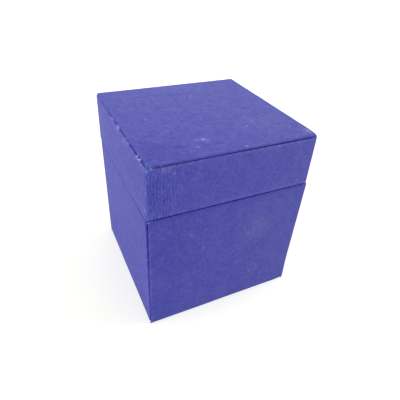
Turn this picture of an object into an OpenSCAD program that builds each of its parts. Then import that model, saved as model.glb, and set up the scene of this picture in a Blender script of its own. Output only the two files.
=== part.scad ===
// Upright cloth-covered card box with a loose shoulder lid.
// The base is a folded wall band round a floor board, with a neck frame standing inside it.
// The lid is a folded wall band with a covered panel glued on its upper edge.
// Millimetres, +Z up. The front is at -Y. The origin is the middle of the footprint, on the table.

/* [Base] */
// Width of the base across its front
box_w = 100; // [70:1:130]
// Depth of the base and the lid, front to back
box_d = 98; // [70:1:130]
// Height of the base walls, from the table to the shoulder that the lid sits on
base_h = 82.4; // [50:0.1:130]
// Thickness of the covered board of the walls, base and lid
wall_t = 2; // [1.5:0.1:3]
// Outside radius of the folded wall corners
corner_r = 1.2; // [0.5:0.1:2]
// Thickness of the covered floor board
floor_t = 2; // [1.5:0.1:4]

/* [Open corner joint] */
// Width of the gaping joint at the shoulder, where the ends of the base wall band meet
joint_top_w = 0.8; // [0.4:0.05:1.5]
// Width of the same joint at the table
joint_foot_w = 0.2; // [0.1:0.05:0.4]

/* [Neck] */
// Thickness of the neck board
neck_t = 1.5; // [1:0.1:2.5]
// Height that the neck stands above the shoulder
neck_rise = 18; // [8:0.5:25]
// Play between the neck and the walls around it, on each side
neck_play = 0.6; // [0.5:0.05:1]

/* [Lid] */
// Height of the lid walls, from the shoulder to the underside of the top panel
lid_wall_h = 30.6; // [26:0.1:60]
// Distance that the lid sits to the left of the base, inside the play of the neck
lid_shift = 0.35; // [0:0.05:0.45]
// Thickness of the covered top panel
panel_t = 1.6; // [1:0.1:3]
// Distance that the top panel is set in from the outside of the lid walls
panel_inset = 0.8; // [0.8:0.1:1.8]
// Outside radius of the top panel's corners
panel_corner_r = 1; // [0.5:0.1:3]
// Angle in degrees by which the top panel was glued on out of square
panel_turn = 0.55; // [0:0.05:0.9]

/* [Hidden] */
$fn = 64;

// Length by which a cut runs past the faces that it opens
cut_over = 1;
// The lid's shift is shared out, so that the whole box stays over the origin
base_x = lid_shift / 2;
lid_x = -lid_shift / 2;
// Inside of the wall bands, base and lid
inner_w = box_w - 2 * wall_t;
inner_d = box_d - 2 * wall_t;
// Outside of the neck, and its height from the floor board
neck_w = inner_w - 2 * neck_play;
neck_d = inner_d - 2 * neck_play;
neck_h = base_h - floor_t + neck_rise;
// Underside of the top panel
lid_wall_top = base_h + lid_wall_h;

// Plan of a board or a wall band with rounded corners
module rounded_plan(w, d, r) {
    square([w - 2 * r, d], center = true);
    square([w, d - 2 * r], center = true);
    for (sx = [-1, 1], sy = [-1, 1])
        translate([sx * (w / 2 - r), sy * (d / 2 - r)]) circle(r);
}

// Wall band folded from one scored board, with sharp folds inside
// An open band is cut, not folded, at its front left corner, which stays square
module wall_band(h, open = false) {
    linear_extrude(h)
        difference() {
            union() {
                rounded_plan(box_w, box_d, corner_r);
                if (open)
                    translate([-box_w / 2, -box_d / 2]) square(corner_r);
            }
            square([inner_w, inner_d], center = true);
        }
}

// Wedge that opens the mitred joint at the front left corner, wide at the shoulder
module corner_joint_cut() {
    reach = wall_t * sqrt(2) + 2 * cut_over;
    translate([-box_w / 2, -box_d / 2, 0])
        rotate([0, 0, 45])
            translate([-cut_over, 0, 0])
                rotate([90, 0, 90])
                    linear_extrude(reach)
                        polygon([
                            [-joint_foot_w / 2, -cut_over],
                            [joint_foot_w / 2, -cut_over],
                            [joint_foot_w / 2, 0],
                            [joint_top_w / 2, base_h],
                            [joint_top_w / 2, base_h + cut_over],
                            [-joint_top_w / 2, base_h + cut_over],
                            [-joint_top_w / 2, base_h],
                            [-joint_foot_w / 2, 0]
                        ]);
}

// Outer walls of the base, one band whose two ends meet at the front left corner
module base_walls() {
    color("#5357a6")
        translate([base_x, 0, 0])
            difference() {
                wall_band(base_h, open = true);
                corner_joint_cut();
            }
}

// Floor board, glued inside the foot of the wall band
module base_floor() {
    color("#4b4f9c")
        translate([base_x, 0, 0])
            linear_extrude(floor_t)
                square([inner_w, inner_d], center = true);
}

// Neck frame that stands on the floor board and guides the lid
module neck() {
    color("#474b96")
        translate([base_x, 0, floor_t])
            linear_extrude(neck_h)
                difference() {
                    square([neck_w, neck_d], center = true);
                    square([neck_w - 2 * neck_t, neck_d - 2 * neck_t], center = true);
                }
}

// Walls of the lid, one closed band that rests on the shoulder of the base
module lid_walls() {
    color("#595dae")
        translate([lid_x, 0, base_h])
            wall_band(lid_wall_h);
}

// Top panel of the lid, set in from the walls and a little out of square
module lid_top() {
    color("#6165b4")
        translate([lid_x, 0, lid_wall_top])
            rotate([0, 0, panel_turn])
                linear_extrude(panel_t)
                    rounded_plan(box_w - 2 * panel_inset, box_d - 2 * panel_inset, panel_corner_r);
}

base_walls();
base_floor();
neck();
lid_walls();
lid_top();
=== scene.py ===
import math
import random

import bpy
from bpy.props import FloatProperty, FloatVectorProperty, IntProperty, PointerProperty
from bpy.types import Operator, Panel, PropertyGroup
from mathutils import Matrix, Vector


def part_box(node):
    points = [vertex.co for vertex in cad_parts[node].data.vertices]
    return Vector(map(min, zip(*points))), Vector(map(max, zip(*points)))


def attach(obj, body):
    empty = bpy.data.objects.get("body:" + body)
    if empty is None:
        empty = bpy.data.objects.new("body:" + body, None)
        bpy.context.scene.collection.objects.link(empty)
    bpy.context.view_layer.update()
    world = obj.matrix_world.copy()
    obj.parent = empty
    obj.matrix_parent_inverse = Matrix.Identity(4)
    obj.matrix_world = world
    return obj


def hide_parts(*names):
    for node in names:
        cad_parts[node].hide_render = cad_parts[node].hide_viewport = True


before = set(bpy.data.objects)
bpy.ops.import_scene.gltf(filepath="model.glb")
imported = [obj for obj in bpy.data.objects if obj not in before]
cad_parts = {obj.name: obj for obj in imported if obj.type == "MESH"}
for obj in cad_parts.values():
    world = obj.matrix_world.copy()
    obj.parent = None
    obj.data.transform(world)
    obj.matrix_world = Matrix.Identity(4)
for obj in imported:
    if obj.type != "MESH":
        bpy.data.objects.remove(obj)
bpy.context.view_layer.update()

bl_info = {
    "name": "Cloth-Covered Box",
    "version": (1, 0, 0),
    "blender": (4, 5, 0),
    "location": "3D View > Sidebar > Covered Box",
    "description": "Dresses a shoulder box with a loose lid in worn linen-grain cloth",
    "category": "Add Mesh",
}

MM = 0.001
PICTURE_SIDE = 400
SENSOR_WIDTH = 36.0
CLOTH_UV = "cloth"
WEAR_AND_SHADE = "wear"
LINED = "lined"
# Value of the wear attribute in deep crevices, where the cloth gets a painted shade
DEEP = -2.0

BASE_LOW, BASE_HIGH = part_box("base_walls")
FLOOR_LOW, FLOOR_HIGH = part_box("base_floor")
NECK_LOW, NECK_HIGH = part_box("neck")
LID_LOW, LID_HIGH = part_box("lid_walls")
PANEL_LOW, PANEL_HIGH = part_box("lid_top")


# Sizes and colours that a user would change

class BoardSizes(PropertyGroup):
    """How the covered boards are folded, rounded and bowed"""

    board: FloatProperty(
        name="Board", description="Thickness of the covered board of the walls",
        default=2 * MM, unit="LENGTH")
    neck_board: FloatProperty(
        name="Neck board", description="Thickness of the neck's board",
        default=1.5 * MM, unit="LENGTH")
    fold_radius: FloatProperty(
        name="Fold radius", description="Outside radius of the folded wall corners",
        default=1.2 * MM, unit="LENGTH")
    inner_radius: FloatProperty(
        name="Inner fold radius", description="Radius inside the folded wall corners",
        default=0.2 * MM, unit="LENGTH")
    rim_radius: FloatProperty(
        name="Rim radius", description="Radius of the cloth where it turns over a rim",
        default=0.6 * MM, unit="LENGTH")
    foot_forward: FloatProperty(
        name="Foot forward", description="Distance that the front wall's foot stands out",
        default=0.75 * MM, unit="LENGTH")
    foot_radius: FloatProperty(
        name="Foot radius", description="Radius of the cloth where it turns under the base",
        default=0.2 * MM, unit="LENGTH")
    right_bulge: FloatProperty(
        name="Right bulge", description="Distance by which the covered walls stand out on the right",
        default=0.75 * MM, unit="LENGTH")
    base_bulge: FloatProperty(
        name="Base bulge", description="Distance by which the base stands out further than that",
        default=0.3 * MM, unit="LENGTH")
    shoulder_drop: FloatProperty(
        name="Shoulder drop", description="Height by which the base's rim stands short of the lid's rim",
        default=0.7 * MM, unit="LENGTH")
    groove_depth: FloatProperty(
        name="Groove depth", description="Depth of the groove between the lid's walls and its top panel",
        default=0.38 * MM, unit="LENGTH")
    panel_seat: FloatProperty(
        name="Panel seat", description="Height by which the lid's walls stand short of the panel's underside",
        default=0.36 * MM, unit="LENGTH")
    corner_cloth: FloatProperty(
        name="Corner cloth", description="Height of the cloth gathered up at the lid's front right corner",
        default=0.5 * MM, unit="LENGTH")
    bow: FloatProperty(
        name="Bow", description="Height of the slow waves in the glued boards",
        default=0.07 * MM, unit="LENGTH")
    bow_length: FloatProperty(
        name="Bow length", description="Distance over which the boards wave",
        default=28 * MM, unit="LENGTH")


class JointSizes(PropertyGroup):
    """The gaping joint at the front left corner of the base"""

    top_gap: FloatProperty(
        name="Top gap", description="Width of the joint just under the shoulder",
        default=1.1 * MM, unit="LENGTH")
    foot_gap: FloatProperty(
        name="Foot gap", description="Width of the joint at the table",
        default=0.35 * MM, unit="LENGTH")
    front_tip: FloatProperty(
        name="Front tip", description="Radius of the cloth round the front end of the band",
        default=0.22 * MM, unit="LENGTH")
    left_tip: FloatProperty(
        name="Left tip", description="Radius of the cloth round the left end of the band",
        default=0.75 * MM, unit="LENGTH")
    aside: FloatProperty(
        name="Aside", description="Distance that the joint lies round the corner, on the left wall",
        default=0.3 * MM, unit="LENGTH")
    bridge: FloatProperty(
        name="Bridge", description="Height of the turned-in cloth that closes the joint at the shoulder",
        default=1.1 * MM, unit="LENGTH")
    left_nib: FloatProperty(
        name="Left nib", description="Distance that the cloth's corner sticks out at the joint's foot",
        default=0.7 * MM, unit="LENGTH")
    right_tuck: FloatProperty(
        name="Right tuck", description="Height by which the cloth is tucked up beside the front right foot",
        default=0.5 * MM, unit="LENGTH")
    splay: FloatProperty(
        name="Splay", description="Distance that the two ends stand out at the shoulder",
        default=0.3 * MM, unit="LENGTH")


class PanelSizes(PropertyGroup):
    """The covered panel on top of the lid"""

    inset: FloatProperty(
        name="Inset", description="Distance from the outside of the lid walls to the panel",
        default=0.8 * MM, unit="LENGTH")
    forward: FloatProperty(
        name="Forward", description="Distance by which the panel was glued on too far to the front",
        default=0.4 * MM, unit="LENGTH")
    turn: FloatProperty(
        name="Turn", description="Angle by which the panel was glued on out of square",
        default=math.radians(0.55), subtype="ANGLE", unit="ROTATION")
    corner_radius: FloatProperty(
        name="Corner radius", description="Radius of the panel's corners, seen from above",
        default=0.6 * MM, unit="LENGTH")
    edge_radius: FloatProperty(
        name="Edge radius", description="Radius of the cloth over the panel's upper edge",
        default=0.45 * MM, unit="LENGTH")
    undercut: FloatProperty(
        name="Undercut", description="Distance that the panel draws in towards its underside",
        default=1.2 * MM, unit="LENGTH")
    corner_sink: FloatProperty(
        name="Corner sink", description="Distance by which the front right corner is bent down",
        default=0.4 * MM, unit="LENGTH")
    left_undercut: FloatProperty(
        name="Left undercut", description="Share of the undercut that the left side has",
        default=0.3, min=0, max=1)


class ClothLook(PropertyGroup):
    """Colour, weave and wear of the cloth"""

    colour: FloatVectorProperty(
        name="Cloth", description="Colour of clean cloth", subtype="COLOR",
        default=(0.049, 0.052, 0.396), min=0, max=1)
    worn: FloatVectorProperty(
        name="Worn", description="Colour of rubbed and frayed threads", subtype="COLOR",
        default=(0.25, 0.26, 0.63), min=0, max=1)
    # The same grey is also painted floor light low on the front and the left side, and painted sheen at the
    # back of the left side
    dust_and_painted_light: FloatVectorProperty(
        name="Dust", description="Colour of the dust in the cloth", subtype="COLOR",
        default=(0.40, 0.40, 0.42), min=0, max=1)
    dustiness: FloatProperty(
        name="Dustiness", description="Share of dust in the middle of the box's front",
        default=0.03, min=0, max=1)
    lining: FloatVectorProperty(
        name="Lining", description="Colour of the paper inside", subtype="COLOR",
        default=(0.07, 0.073, 0.29), min=0, max=1)
    pitch: FloatProperty(
        name="Pitch", description="Distance from one thread of the weave to the next",
        default=0.7 * MM, unit="LENGTH")
    relief: FloatProperty(
        name="Relief", description="Height of the weave's relief",
        default=0.10 * MM, unit="LENGTH")
    thread_length: FloatProperty(
        name="Thread length", description="Length of a frayed thread",
        default=0.8 * MM, unit="LENGTH")
    thread_thickness: FloatProperty(
        name="Thread thickness", description="Thickness of a frayed thread",
        default=0.28 * MM, unit="LENGTH")
    seed: IntProperty(
        name="Seed", description="Changes how the frayed threads lie", default=7)
    rib: FloatProperty(
        name="Rib", description="Distance between the raised threads at the lid's front left",
        default=1.7 * MM, unit="LENGTH")


class StageSet(PropertyGroup):
    """Floor, light and camera"""

    azimuth: FloatProperty(
        name="Azimuth", description="Angle of the view to the left of the front",
        default=math.radians(27.754), subtype="ANGLE", unit="ROTATION")
    elevation: FloatProperty(
        name="Elevation", description="Angle at which the camera looks down",
        default=math.radians(35.333), subtype="ANGLE", unit="ROTATION")
    roll: FloatProperty(
        name="Roll", description="Angle by which the camera is tipped about its own view",
        default=math.radians(4.018), subtype="ANGLE", unit="ROTATION")
    place: FloatVectorProperty(
        name="Place", description="Where the camera stands",
        default=(-0.09337, -0.18631, 0.20292), subtype="TRANSLATION", unit="LENGTH")
    focal_pixels: FloatProperty(
        name="Focal length", description="Focal length in pixels of the square picture",
        default=369.6)
    rise_pixels: FloatProperty(
        name="Rise", description="Height in pixels of the optical axis above the picture's middle",
        default=7.0)
    floor: FloatVectorProperty(
        name="Floor", description="Colour of the floor", subtype="COLOR",
        default=(0.88, 0.88, 0.88), min=0, max=1)
    floor_glow: FloatProperty(
        name="Floor glow", description="White that the camera sees on the floor besides its light",
        default=0.385, min=0, max=1)


GROUPS = {
    "boards": BoardSizes,
    "joint": JointSizes,
    "panel": PanelSizes,
    "cloth": ClothLook,
    "stage": StageSet,
}


# Marks in the cloth and patches of painted light and shade, in millimetres: place, reach along X, Y and Z,
# and strength

RUBBED_SPOTS = (
    ((4.5, 23.5, 114.6), (1.0, 1.1, 1.5), 0.8),
    ((23.5, -15, 114.6), (0.9, 2.2, 1.5), 0.6),
    ((24, -21.5, 114.6), (1.4, 0.9, 1.5), 0.8),
    ((17.5, -26.5, 114.6), (1.9, 1.1, 1.5), 0.85),
    ((-13.2, -33, 114.6), (2.2, 2.6, 1.5), 1.0),
    ((-11.5, -35, 114.6), (1.4, 1.6, 1.5), 0.7),
    ((-17.5, -32.5, 114.6), (3.6, 1.3, 1.5), 0.4),
    ((-19.5, -40, 114.6), (1.3, 2.0, 1.5), 0.45),
    ((5, -47, 114.6), (1.3, 1.6, 1.6), 1.0),
    ((-30, 25, 114.6), (1.0, 1.4, 1.5), 0.45),
    ((-33.5, 0, 114.6), (1.2, 1.2, 1.5), 0.4),
    ((10.5, 11, 114.6), (1.2, 0.9, 1.5), 0.4),
    ((-3.5, -10, 114.6), (1.2, 0.9, 1.5), 0.4),
    ((16, 4.5, 114.6), (1.2, 0.9, 1.5), 0.35),
    ((26, -36.5, 114.6), (1.4, 1.2, 1.5), 0.45),
    ((47.8, -43.2, 114.3), (0.8, 4.0, 2), 1.3),
    ((43.5, -46, 114.3), (2.2, 1.0, 2), 0.45),
    ((-39, -48.3, 114.2), (6.0, 1.2, 1.5), 0.25),
    ((-49.6, 8.5, 113.2), (1.6, 2.5, 1.5), 0.6),
    ((-49.6, -3, 113.2), (1.6, 2.4, 1.5), 0.5),
    ((-49.6, -17.5, 113.2), (1.6, 1.6, 1.5), 0.45),
    ((-49.6, -22.5, 113.2), (1.6, 1.6, 1.5), 0.45),
    ((-49.4, -35.5, 113.3), (1.6, 1.8, 1.5), 1.0),
    ((-49.4, -40, 113.4), (1.6, 2.6, 1.6), 1.0),
    ((-49.2, -46.5, 113.4), (2.0, 2.4, 1.6), 0.8),
    ((-49.4, -48.6, 112.2), (1.8, 1.6, 1.4), 0.8),
    ((-46.8, -48.8, 112.6), (2.4, 1.5, 1.2), 0.7),
    ((-50.4, -47.4, 88.9), (1.1, 1.1, 1.5), 0.85),
    ((-50.2, -49, 98), (1.0, 1.0, 3.0), 0.3),
    ((-27, -49, 111.6), (1.3, 1, 0.9), 0.6),
    ((-8, -49, 110.5), (0.9, 1, 0.9), 0.5),
    ((20, -49, 112.3), (1.3, 1, 0.7), 0.4),
    ((43, -49, 86), (1.2, 1, 0.8), 0.5),
    ((-35.5, -49, 108), (0.9, 1, 0.9), 0.5),
    ((-41.5, -49, 111.8), (0.9, 1, 0.9), 0.5),
    ((-24.5, -49, 65), (1.0, 1, 1.1), 0.65),
    ((-27, -49, 67.5), (0.8, 1, 0.8), 0.4),
    ((-23, -49, 62.5), (0.8, 1, 0.8), 0.4),
    ((14, -49, 54.5), (1.1, 1, 1.1), 0.65),
    ((18.5, -49, 56.5), (0.9, 1, 0.9), 0.4),
    ((15.5, -49, 52.5), (0.8, 1, 0.8), 0.35),
    ((11, -49, 58), (0.8, 1, 0.8), 0.35),
    ((-16.5, -49, 52.5), (0.9, 1, 0.9), 0.4),
    ((24, -49, 14), (1.4, 1, 0.8), 0.35),
    ((-50, -49, 82.0), (2.4, 1.8, 0.7), 0.5),
)
DUST_AND_PAINTED_LIGHT_PATCHES = (
    ((-39.5, -49, 110.6), (4.5, 2, 3), 0.13),
    ((19, -49, 58), (17, 3, 16), 0.06),
    ((30, -25, 114.6), (22, 16, 2), 0.04),
    ((47, -42, 114), (4, 7, 4), 0.08),
    ((-50.3, -14, 110), (2, 6, 3), 0.10),
    ((-50.3, -1, 111.5), (2, 4, 2.5), 0.12),
    # painted floor light low on the left side
    ((-50, 25, 2), (4, 60, 8), 0.045),
    # painted sheen at the back of the left side
    ((-50, 40, 97), (3, 14, 16), 0.04),
    # painted floor light low on the front
    ((0, -49, 1), (60, 3, 6), 0.03),
)
# Patches of painted light and shade, partly uneven tone of the cloth; below 0 they darken
PAINTED_LIGHT_AND_TONE_PATCHES = (
    ((-42, -38, 114.6), (28, 26, 3), -0.15),
    ((5, 45, 114.6), (44, 17, 3), 0.12),
    ((47, -5, 114.6), (16, 24, 3), 0.10),
    ((-50.3, 42, 97), (3, 20, 24), 0.12),
    ((-50.3, -35, 100), (3, 24, 22), -0.10),
    ((-27, -49, 100), (16, 3, 16), 0.07),
    ((47, -49, 98), (14, 3, 20), 0.07),
    ((50.5, -49, 98), (7, 3, 24), 0.2),
    # painted shadow of the lid's overhang along the left side, below the shoulder
    ((-50.3, -25, 80.8), (3, 50, 1.5), -0.3),
    ((-38, -40, 114.6), (20, 14, 3), -0.14),
    ((4, 44, 114.6), (26, 12, 3), 0.16),
    ((42, 42, 114.6), (16, 16, 3), -0.16),
    ((-42, -49, 97), (9, 3, 12), -0.18),
    ((-38, -49, 60), (20, 3, 32), -0.15),
    ((22, -49, 38), (14, 3, 14), -0.16),
    # painted floor light low on the front
    ((-8, -49, 8), (28, 3, 10), 0.14),
    # painted floor light low on the left side
    ((-50.3, 25, 4), (3, 60, 6), 0.12),
    ((-50.3, -43, 22), (3, 12, 28), 0.2),
)

# A bluer stain at the lid's front left corner
BLUE_STAIN = ((-48.6, -48.6, 112.9), (4.5, 4.5, 3.5), 0.5)
BLUE_STAIN_COLOUR = (0.055, 0.12, 0.45)

# A faint ring of dust low on the front: its place, radius and width in millimetres, and its share of dust
RING_PLACE = (22, -49, 21)
RING_RADIUS = 3.2
RING_WIDTH = 0.9
RING_DUST = 0.1

# Places where threads have frayed, in millimetres: place, spread along X, Y and Z, and number
FRAYED_PLACES = (
    ((-49.8, 8.5, 113.2), (0.25, 0.9, 0.2), 8),
    ((-49.8, -2, 113.2), (0.25, 0.6, 0.2), 14),
    ((-49.8, -5, 113.2), (0.25, 0.5, 0.2), 9),
    ((-49.8, -17.5, 113.2), (0.25, 0.7, 0.2), 4),
    ((-49.8, -22.5, 113.2), (0.25, 0.8, 0.2), 5),
    ((-50, -37, 113.2), (0.15, 0.15, 0.15), 18),
    ((-49.9, -40.6, 113.5), (0.2, 0.2, 0.2), 36),
    ((-49.8, -44.5, 113.0), (0.25, 0.8, 0.2), 5),
    ((-49.6, -48.3, 112.5), (0.5, 0.4, 0.5), 6),
    ((-47.2, -49, 112.8), (0.5, 0.25, 0.4), 8),
    ((-49.2, -49, 111.6), (0.4, 0.2, 0.7), 4),
)


# How finely the boards are made: steps along a wall, up it and round a fold
BASE_STEPS = (40, 44, 6)
NECK_STEPS = (30, 36, 6)
LID_STEPS = (40, 22, 6)
FLOOR_STEPS = (24, 3)
PANEL_STEPS = (40, 6)
RIM_STEPS = 4
GROOVE_STEPS = 3
TIP_STEPS = 6
TIP_SHOWN = 2
MITRE_STEPS = 3

# How much the steps crowd towards the ends of a wall, along it and up it
WALL_CROWD = 0.8
RISE_CROWD = 0.6

# The four walls from the front on: the way along each and the way out of it
WALL_WAYS = ((1, 0), (0, 1), (-1, 0), (0, -1))
WALL_OUTS = ((0, -1), (1, 0), (0, 1), (-1, 0))

# Turn of the cloth round an end of the band, from the wall to the mitre
TIP_TURN = math.radians(135)

# The most that a rim draws a point in where nothing limits it
NO_LIMIT = 1.0

# Depth of the skin of a wall that a local push moves
AT_WALL = 3 * MM

# How far the base's top and the lid's foot lean out to the left, right, front and back
BASE_LEAN = (0.25 * MM, 0.6 * MM, 0.12 * MM, 0.0)
LID_LEAN = (0.25 * MM, 0.5 * MM, 0.0, 0.0)
UPRIGHT = (0.0, 0.0, 0.0, 0.0)

# Noise strays from a half by about a quarter, so its bows are made this much larger
BOW_GAIN = 4.0

# Folds and rims of the plain boards inside
FLOOR_CORNER = 0.4 * MM
NECK_FOLD = 1.0 * MM
NECK_RIM = 0.4 * MM

# Shape of a thread: its steps and sides, and its bend as shares of its length
THREAD_STEPS = 5
THREAD_SIDES = 5
THREAD_MIDDLE = (0.3, 0, 0.45)
THREAD_END = (0.9, 0, 0.35)
THREAD_TURNS = ((-0.5, -1.0, -math.pi), (0.5, 0.5, math.pi))
THREAD_GROWTH = (0.4, 1.2)

# Where the lid, its top, its front and the two hidden sides begin, in millimetres
LID_FROM = (82.3, 82.9)
TOP_FROM = (113.2, 113.8)
FRONT_FROM = (-47.6, -48.4)
RIGHT_FROM = (49.4, 49.9)
BACK_FROM = (48.2, 48.7)

# Where the ribs on the front fade to the right, and the width over which dust grows, in millimetres
RIBBED = (-44, -18)
DUST_SPAN = (-50, 50)

# Grain along the axis that the flat cloth doesn't have
FLAT = 1000

# Noise in the cloth and the paper: its grain along X, Y and Z in millimetres, detail, seed and roughness
WANDER_ACROSS = ((3, 9, FLAT), 2.0, 3.1, 0.5)
WANDER_UP = ((9, 3, FLAT), 2.0, 7.7, 0.5)
RIB_DRIFT = ((9, 3, FLAT), 2.0, 6.2, 0.5)
RIB_BREAKS = ((1.5, 1.5, FLAT), 1.0, 15.3, 0.5)
RIB_DASHES = ((0.55, 1.5, FLAT), 0.0, 21.9, 0.5)
SLUBS_UP = ((0.9, 16, FLAT), 2.0, 1.3, 0.5)
SLUBS_ACROSS = ((16, 0.9, FLAT), 2.0, 2.9, 0.5)
BLOTCHES = ((7, 7, 7), 4.0, 5.5, 0.65)
GRAIN = ((1.3, 1.3, 1.3), 3.0, 9.1, 0.7)
FLUFF = ((3, 3, 3), 2.0, 12.7, 0.6)
FRAY = ((1.6, 1.6, 1.6), 4.0, 4.2, 0.7)
THREAD_PATCHES = ((0.9, 0.9, 0.9), 2.0, 3.3, 0.5)
THREAD_GRAIN = ((0.2, 0.2, 0.2), 2.0, 8.1, 0.5)
PAPER_FIBRE = ((0.8, 0.8, 3), 5.0, 2.0, 0.7)
PAPER_CLOUDS = ((20, 20, 20), 2.0, 6.0, 0.5)

# The weave: how far its threads wander, how high they stand and cross over each other, and its mean height
THREAD_WANDER = 0.9
THREAD_CROWN = 0.5
THREAD_OVER = 0.35
WEAVE_MIDDLE = 0.6

# The ribs: how far they wander, how sharp they are, their mean height, and their beads' depth and middle
RIB_WANDER = 1.5
RIB_SHARPNESS = 3.0
RIB_MEAN = 0.21
BEAD_DEPTH = 0.45
BEAD_MIDDLE = 0.7

# How strong the ribs and the dashes between them are
RIB_STRENGTH = 1.15
DASH_STRENGTH = 0.55

# Strengths by side: one for all sides, and what each named side adds to it
# Lightness by side: the top gets a painted shade, and the lid is lighter
LIGHTNESS_AND_SHADE_BY_SIDE = {"all": 1.01, "lid": 0.05, "lid front": 0.05, "top": -0.1}
BLOTCH_BY_SIDE = {"all": 0.5, "top": 0.4}
GRAIN_BY_SIDE = {"all": 2.34, "front": -0.96, "lid front": 0.66, "top": -1.5, "hidden": -1.08}
FLUFF_BY_SIDE = {"all": 1.71, "front": -0.81, "lid front": -0.18, "hidden": -1.08}
RIB_BY_SIDE = {"front": 0.3, "lid front": 0.7}

# How much the threads lighten the cloth
SLUB_LIGHT = 0.25
WEAVE_LIGHT = 0.35
RIB_LIGHT = 1.8

# How high thick threads and ribs stand in the relief, and the share of the ribs that is left on the right
SLUB_HEIGHT = 0.8
RIB_HEIGHT = 0.5
RIB_ON_RIGHT = 0.22

# Mottling by noise: from one noise value to another, and the strengths that these give
RIB_MOTTLE = (0.4, 0.6, 0.0, 1.0)
SHADE_UNDER_LID_MOTTLE = (0.3, 0.7, 0.7, 1.2)
DUST_MOTTLE = (0.35, 0.65, 0.6, 1.4)
FRAY_MOTTLE = (0.42, 0.68, 0.12, 1.12)
SPOT_MOTTLE = (0.3, 0.6, 0.45, 1.2)

# The painted shadow under the lid darkens the cloth by this share, and the most that rubbing hides of it
SHADE_UNDER_LID_DARK = 0.3
RUBBED_MOST = 0.9

# Dust as shares of the dustiness at the left and right, and how much more and less blotches have
DUST_SHARES = (0.35, 1.65)
DUST_BLOTCH = 0.07

# What light threads and painted light gain, and what the painted shade of deep crevices loses and gains, in
# red, green and blue
LIGHTER = (1, 1, 0.3)
CREVICE_SHADE_TINT = (-0.12, -0.12, 0.15)

# A frayed thread's colour, its least light and what its patches and its grain add
THREAD_COLOUR = (0.48, 0.50, 0.92)
THREAD_LIGHT = (0.2, 1.2, 0.4)

# How much the paper's fibre and its clouds change its light, and the height of fibres
PAPER_LIGHT = (0.35, 0.25)
FIBRE_RELIEF = 0.02 * MM

# Roughness, what a full grain adds to it, and gloss
CLOTH_SHINE = (0.55, 0.2, 0.45)
THREAD_SHINE = (0.6, 0.2, 0.3)
PAPER_SHINE = (0.72, 0.15, 0.35)

# How far and how finely the edges of marks wander, and the share of a mark's reach at full strength
RAGGED = 2 * MM
RAGGED_GRAIN = 2.2 * MM
MARK_CORE = 0.15

# Sockets of the Mix node for colours
MIX_SHARE = 0
MIX_UNDER = 6
MIX_OVER = 7
MIX_RESULT = 2

# The floor, and the distances in millimetres between which its glow's warm tint fades: a painted tint that
# cancels the blue light that the box throws on the floor near it
FLOOR_REACH = 4.0
BOUNCE_CANCEL_REACH = (80, 160)
BOUNCE_CANCEL_BLUE = 0.76

# Each lamp's name, the way to it and its strength, then their softness and the light of the room
LAMPS = (
    ("left", (-1, 0, 0.6), 0.77),
    ("front left", (-1, -1, 0.85), 0.48),
    ("right", (1, 0, 0.6), 1.10),
    ("back", (0.2, 1, 0.35), 0.52),
)
LAMP_SPREAD = math.radians(45)
ROOM_LIGHT = 0.55


# Meshes of folded bands and covered boards

def spread(length, count, crowd):
    """Distances along a length, crowded towards its two ends."""
    places = []
    for i in range(count + 1):
        even = i / count
        eased = 0.5 - 0.5 * math.cos(math.pi * even)
        places.append(length * (even + (eased - even) * crowd))
    return places


class PlanPoint:
    """A point of a board's outline seen from above.

    It holds the way out of the board, its run along the cloth, how far it is round a fold, the most that
    a rim may draw it in, and whether it lies deep in the joint.
    """

    def __init__(self, spot, out, fold=0.0, limit=NO_LIMIT, deep=False):
        self.x, self.y = spot
        self.nx, self.ny = out
        self.fold, self.limit, self.deep = fold, limit, deep
        self.run = 0.0

    def drawn(self, pull):
        """The point's place when it is drawn into the board."""
        return self.x - self.nx * pull, self.y - self.ny * pull


def outline(middle, half, radius, count, arc_steps, open_by=None):
    """Points round a rounded rectangle, anticlockwise from its front left corner.

    With open_by, the front left corner isn't rounded: the front and the left wall stop that far from it.
    """
    points = []
    for wall in range(4):
        way, out = Vector(WALL_WAYS[wall]), Vector(WALL_OUTS[wall])
        reach = abs(way.x) * half[0] + abs(way.y) * half[1]
        depth = abs(out.x) * half[0] + abs(out.y) * half[1]
        first = open_by[0] if open_by is not None and wall == 0 else radius
        last = open_by[1] if open_by is not None and wall == 3 else radius
        start = Vector(middle) + out * depth - way * (reach - first)
        for step in spread(2 * reach - first - last, count, WALL_CROWD):
            points.append(PlanPoint(start + way * step, out))
        if open_by is not None and wall == 3:
            break
        centre = Vector(middle) + out * (depth - radius) + way * (reach - radius)
        for j in range(1, arc_steps):
            angle = math.pi / 2 * j / arc_steps
            ray = out * math.cos(angle) + way * math.sin(angle)
            points.append(PlanPoint(centre + ray * radius, ray, fold=math.sin(2 * angle)))
    return points


def measure(points):
    """Gives each point its run along the cloth and returns the length round them all."""
    run = 0.0
    for point, before in zip(points, points[:1] + points):
        run += math.hypot(point.x - before.x, point.y - before.y)
        point.run = run
    return run + math.hypot(points[0].x - points[-1].x, points[0].y - points[-1].y)


def facing_in(points, partners):
    """Turns an inner outline to face the inside, with the cloth's run of its outer partners."""
    for point, partner in zip(points, partners):
        point.run = partner.run
        point.nx, point.ny = -point.nx, -point.ny


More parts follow.
